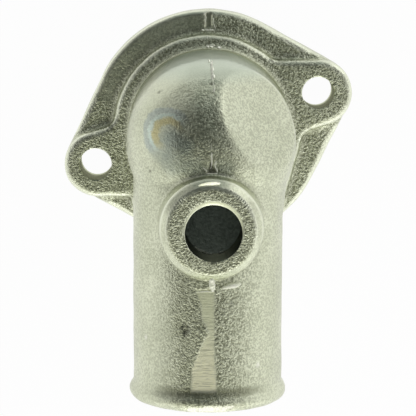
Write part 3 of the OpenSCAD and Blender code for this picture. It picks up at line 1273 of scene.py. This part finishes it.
def shaken(g, place, given, scale, detail, out):
    """Noise that differs from ridge to ridge."""
    return g.node(
        "TexNoise",
        {"noise_dimensions": "4D"},
        {"Vector": place, "W": given["Seed"], "Scale": scale, "Detail": detail},
        out,
    )


def laid_line(g, given, place):
    """The traced line in short steps, cast onto the surface and shaken."""
    surface = g.node("GeometryNodeObjectInfo", inputs={"Object": given["Surface"]}, out="Geometry")
    line = g.node("GeometryNodeMeshToCurve", inputs={"Mesh": given["Line"]})
    slots = {"Curve": line, "Length": RIDGE_STEP * MM}
    line = g.node("GeometryNodeResampleCurve", {"mode": "LENGTH"}, slots)
    hit = g.node(
        "GeometryNodeRaycast",
        inputs={
            "Target Geometry": surface,
            "Source Position": place,
            "Ray Direction": given["Way"],
            "Ray Length": CAST_LENGTH,
        },
        out="Hit Position",
    )
    shake = shaken(g, place, given, *SHAKE, "Color")
    shake = g.vector("SUBTRACT", shake, (NOISE_CENTRE,) * 3)
    laid = g.vector("ADD", hit, g.scaled(shake, given["Radius"]))
    return g.node("GeometryNodeSetPosition", inputs={"Geometry": line, "Position": laid})


def flash_tree(material):
    """Geometry Nodes that lay one wavering, tapering ridge on a surface along a traced line."""
    tree = bpy.data.node_groups.new("flash_ridge", "GeometryNodeTree")
    for name, kind in RIDGE_INPUTS:
        tree.interface.new_socket(name, in_out="INPUT", socket_type=kind)
    tree.interface.new_socket("Ridge", in_out="OUTPUT", socket_type="NodeSocketGeometry")
    g = Nodes(tree)
    given = {name: g.node("NodeGroupInput", out=name) for name, _ in RIDGE_INPUTS}
    place = g.node("GeometryNodeInputPosition")
    line = laid_line(g, given, place)
    along = g.node("GeometryNodeSplineParameter", out="Factor")
    taper = (along * (1 - along) * 4).power(RIDGE_TAPER)
    swell = shaken(g, place, given, *SWELL, 0)
    radius = given["Radius"] * taper * (swell * SWELL_ADDS + SWELL_LEAST)
    slots = {"Resolution": RIDGE_SIDES, "Radius": 1.0}
    ring = g.node("GeometryNodeCurvePrimitiveCircle", inputs=slots)
    slots = {"Curve": line, "Profile Curve": ring, "Scale": radius, "Fill Caps": True}
    ridge = g.node("GeometryNodeCurveToMesh", inputs=slots)
    slots = {"Geometry": ridge, "Distance": SAME_POINT * MM}
    ridge = g.node("GeometryNodeMergeByDistance", inputs=slots)
    ridge = g.node("GeometryNodeRealizeInstances", inputs={"Geometry": ridge})
    ridge = g.node("GeometryNodeSetMaterial", inputs={"Geometry": ridge, "Material": material})
    g.node("NodeGroupOutput", inputs={"Ridge": ridge})
    return tree


def set_inputs(modifier, values):
    """Sets a Geometry Nodes modifier's inputs by their sockets' identifiers."""
    for item in modifier.node_group.interface.items_tree:
        if item.in_out == "INPUT" and item.name in values:
            modifier[item.identifier] = values[item.name]


def traced_line(points, way, start):
    """A mesh of edges through the points, off the surface, for a ridge to be cast from."""
    spots = [(u, v, start) if way == DOWN else (u, start, v) for u, v in points]
    steps = [(i, i + 1) for i in range(len(spots) - 1)]
    mesh = bpy.data.meshes.new("ridge_line")
    mesh.from_pydata([Vector(spot) * MM for spot in spots], steps, [])
    return link("ridge_line", mesh)


def parting_flash(casting):
    """All the ridges of flash as one piece."""
    material = flash_metal()
    tree = flash_tree(material)
    bm = bmesh.new()
    for number, ((way, start), radius, points) in enumerate(RIDGES):
        line = traced_line(points, way, start)
        lay = line.modifiers.new("flash", "NODES")
        lay.node_group = tree
        values = {"Surface": casting, "Way": way, "Radius": radius * MM, "Seed": float(number)}
        set_inputs(lay, values)
        bm.from_mesh(settled(line))
        bpy.data.objects.remove(line)
    flash = piece_of(bm, "parting_flash")
    flash.data.materials.append(material)
    shade_smooth(flash.data)
    return flash


# Leaf-shaped chips of bright metal: middle, the way each faces, its run, and half its
# length, width and thickness
TO_FRONT = (0.02, -0.42, 0.90)
TO_BACK = (0.36, 0.50, 0.78)
ACROSS = (1, 0, 0)
UP_THE_BACK = (0, -0.8, 0.6)
CHIPS = (
    # On the boss's rim
    ((-0.1, -6.1, 58.62), TO_FRONT, (1, 0.185, 0), (2.75, 1.0, 0.15)),
    # At the foot of the dome and on the plate, where the parting line crosses
    ((0.3, 22.35, 9.75), TO_BACK, ACROSS, (0.55, 0.30, 0.12)),
    ((1.25, 22.30, 9.75), TO_BACK, ACROSS, (0.50, 0.32, 0.12)),
    ((3.3, 22.12, 9.75), TO_BACK, ACROSS, (0.62, 0.30, 0.12)),
    ((-0.9, 26.45, 6.30), TO_BACK, ACROSS, (0.50, 0.26, 0.10)),
    ((0.1, 26.50, 6.30), TO_BACK, ACROSS, (0.55, 0.24, 0.10)),
    ((1.2, 26.45, 6.30), TO_BACK, ACROSS, (0.50, 0.26, 0.10)),
    # Up the back of the dome
    ((0.1, 21.35, 37.2), TO_BACK, UP_THE_BACK, (0.50, 0.28, 0.12)),
    ((0.6, 20.75, 39.6), TO_BACK, UP_THE_BACK, (0.70, 0.34, 0.12)),
    ((0.9, 19.75, 42.2), TO_BACK, UP_THE_BACK, (0.80, 0.40, 0.12)),
    ((1.15, 18.45, 44.8), TO_BACK, UP_THE_BACK, (0.55, 0.36, 0.12)),
)
CHIP_ROUNDNESS = 3


def bright_chips():
    """The bright chips as one piece."""
    bm = bmesh.new()
    for at, way, run, halves in CHIPS:
        up = Vector(way).normalized()
        across = up.cross(Vector(run)).normalized()
        turn = Matrix((across.cross(up), across, up)).transposed().to_4x4()
        size = Matrix.Diagonal((*(half * MM for half in halves), 1))
        place = Matrix.Translation(Vector(at) * MM) @ turn @ size
        bmesh.ops.create_icosphere(bm, subdivisions=CHIP_ROUNDNESS, radius=1, matrix=place)
    chips = piece_of(bm, "bright_chips")
    chips.data.materials.append(chip_metal())
    shade_smooth(chips.data)
    return chips


def finished_casting():
    """The casting, machined, with its materials in the order of their places."""
    casting = cast_skin()
    machine(casting)
    casting.data.materials.clear()
    for finish in (cast_metal, turned_metal, core_metal, port_metal, bore_metal):
        casting.data.materials.append(finish())
    sort_faces(casting.data)
    return casting


casting = finished_casting()
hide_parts("housing")
for piece in (casting, parting_flash(casting), bright_chips()):
    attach(piece, "root")

# Camera of the photograph, fitted to its outline: place in millimetres, its three axes,
# and its focal length in pixels of a square frame
CAMERA_AT = (-6.82, 61.48, 413.88)
CAMERA_RIGHT = (0.99984, 0.00388, 0.01726)
CAMERA_UP = (-0.00031, 0.97939, -0.20196)
CAMERA_BACK = (-0.01769, 0.20192, 0.97924)
FOCAL_PIXELS = 1505.4
FRAME_PIXELS = 416
SENSOR_MM = 36
NEAREST_SEEN = 0.01


def photo_camera():
    """Camera at the photograph's viewing angle."""
    lens = bpy.data.cameras.new("photo_camera")
    lens.sensor_width = SENSOR_MM
    lens.sensor_fit = "HORIZONTAL"
    lens.lens = FOCAL_PIXELS * SENSOR_MM / FRAME_PIXELS
    lens.clip_start = NEAREST_SEEN
    camera = bpy.data.objects.new("photo_camera", lens)
    turn = Matrix((CAMERA_RIGHT, CAMERA_UP, CAMERA_BACK)).transposed().to_4x4()
    camera.matrix_world = Matrix.Translation(Vector(CAMERA_AT) * MM) @ turn
    bpy.context.scene.collection.objects.link(camera)
    bpy.context.scene.camera = camera


# Soft boxes round the table: heading and height in degrees, power in watts, colour
WHITE = (1, 1, 1)
WARM = (1, 1, 0.85)
COOL = (0.86, 1, 0.97)
SOFT_BOXES = (
    (0, 15, 0.50, WHITE),
    (45, 15, 0.73, WHITE),
    (90, 15, 0.18, COOL),
    (135, 15, 0.18, WHITE),
    (180, 15, 0.48, WHITE),
    (225, 15, 0.54, WHITE),
    (270, 15, 1.16, WHITE),
    (315, 15, 0.76, WHITE),
    (0, 45, 0.26, WHITE),
    (225, 45, 0.32, WARM),
    (270, 45, 0.41, WARM),
    (315, 45, 0.21, WARM),
    (90, 80, 0.06, COOL),
)

# Their distance from the point that they face, their size and that point, in metres
BOX_DISTANCE = 0.6
BOX_SIZE = 0.4
BOX_AIM = Vector((0, -0.015, 0.025))

# Paper floor: half its width in metres, how far below the part it lies in millimetres,
# and its own colour
FLOOR_HALF = 2.0
FLOOR_DROP = 0.02
PAPER = (0.9, 0.9, 0.9, 1)
PURE_WHITE = (1, 1, 1, 1)

# Share of white that the camera sees in floor and sky, and the sky's own faint glow
SEEN_WHITE = 0.97
SKY_GLOW = 0.03

# Where the paper's glow in the metal fades behind the part, from and to y in millimetres,
# and the glow before and after that
SHADE_Y = (45, 150)
SHADE_GLOW = (1.0, 0.45)


def soft_boxes():
    """Square lamps round the part, all facing it."""
    for heading, height, power, colour in SOFT_BOXES:
        light = bpy.data.lights.new(f"soft_box_{heading}_{height}", "AREA")
        light.size = BOX_SIZE
        light.energy = power
        light.color = colour
        lamp = bpy.data.objects.new(light.name, light)
        flat = math.cos(math.radians(height))
        away = Vector(
            (
                flat * math.cos(math.radians(heading)),
                flat * math.sin(math.radians(heading)),
                math.sin(math.radians(height)),
            )
        )
        lamp.location = BOX_AIM + BOX_DISTANCE * away
        lamp.rotation_euler = away.to_track_quat("Z", "Y").to_euler()
        bpy.context.scene.collection.objects.link(lamp)


def white_paper():
    """Paper that the camera sees as white, and the metal too, with the part's soft shadow on it."""
    f = Finish("white_paper")
    paper = f.node("BsdfDiffuse", inputs={"Color": PAPER})
    glow = f.node("Emission", inputs={"Color": PURE_WHITE, "Strength": 1.0})
    seen = f.node("LightPath", out="Is Camera Ray") * SEEN_WHITE
    mirrored = f.node("LightPath", out="Is Glossy Ray") * f.ramp(f.axis("Y"), *SHADE_Y, *SHADE_GLOW)
    surface = f.node("MixShader", inputs={0: seen.most(mirrored), 1: paper, 2: glow})
    f.node("OutputMaterial", inputs={"Surface": surface})
    return f.material


def white_floor():
    """Sheet of paper that the part lies on."""
    mesh = bpy.data.meshes.new("floor")
    signs = ((-1, -1), (1, -1), (1, 1), (-1, 1))
    corners = [(x * FLOOR_HALF, y * FLOOR_HALF, -FLOOR_DROP * MM) for x, y in signs]
    mesh.from_pydata(corners, [], [(0, 1, 2, 3)])
    mesh.materials.append(white_paper())
    link("floor", mesh)


def white_sky():
    """World that the camera sees as white; the soft boxes do the lighting."""
    world = bpy.data.worlds.new("studio")
    world.use_nodes = True
    bpy.context.scene.world = world
    sky = Nodes(world.node_tree)
    strength = sky.node("LightPath", out="Is Camera Ray") * SEEN_WHITE + SKY_GLOW
    glow = sky.node("Background", inputs={"Color": PURE_WHITE, "Strength": strength})
    sky.node("OutputWorld", inputs={"Surface": glow})


photo_camera()
soft_boxes()
white_floor()
white_sky()
bpy.context.scene.view_settings.view_transform = "Standard"
